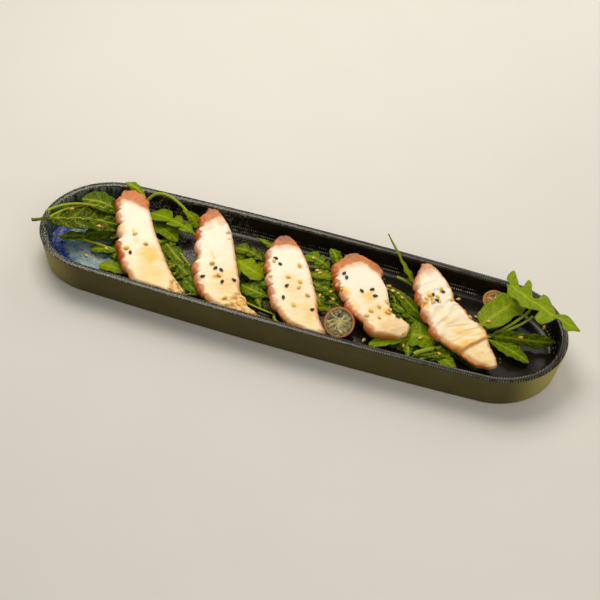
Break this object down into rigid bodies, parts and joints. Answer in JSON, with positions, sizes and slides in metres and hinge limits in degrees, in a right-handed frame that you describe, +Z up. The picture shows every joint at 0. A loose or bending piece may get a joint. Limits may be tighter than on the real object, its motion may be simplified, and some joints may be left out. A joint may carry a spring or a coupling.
{
  "type": "octopus salad",
  "caption": "Slanting slices of cooked octopus on a bed of rocket leaves with cherry tomato halves and sesame seeds, served in a long shallow stoneware dish.",
  "frame": {"origin": "centre of the dish's flat base, on the surface that the dish stands on", "axes": "+X along the dish, -Y towards the side that the picture looks from, +Z up"},
  "size_m": [0.365, 0.0992, 0.0386],
  "materials": {
    "stoneware": "black gloss glaze inside with a speckled rim, bare olive-grey clay outside",
    "octopus": "moist, creamy cooked flesh with a pink-brown skin edge",
    "rocket": "satin green leaves with a film of dressing",
    "tomato": "moist cut face with a thin red skin"
  },
  "bodies": {
    "root": {"stoneware_dish": "stoneware", "octopus_slice_1": "octopus", "octopus_slice_2": "octopus", "octopus_slice_3": "octopus", "octopus_slice_4": "octopus", "octopus_slice_5": "octopus", "rocket_salad": "rocket", "tomato_half_1": "tomato", "tomato_half_2": "tomato"}
  },
  "joints": []
}
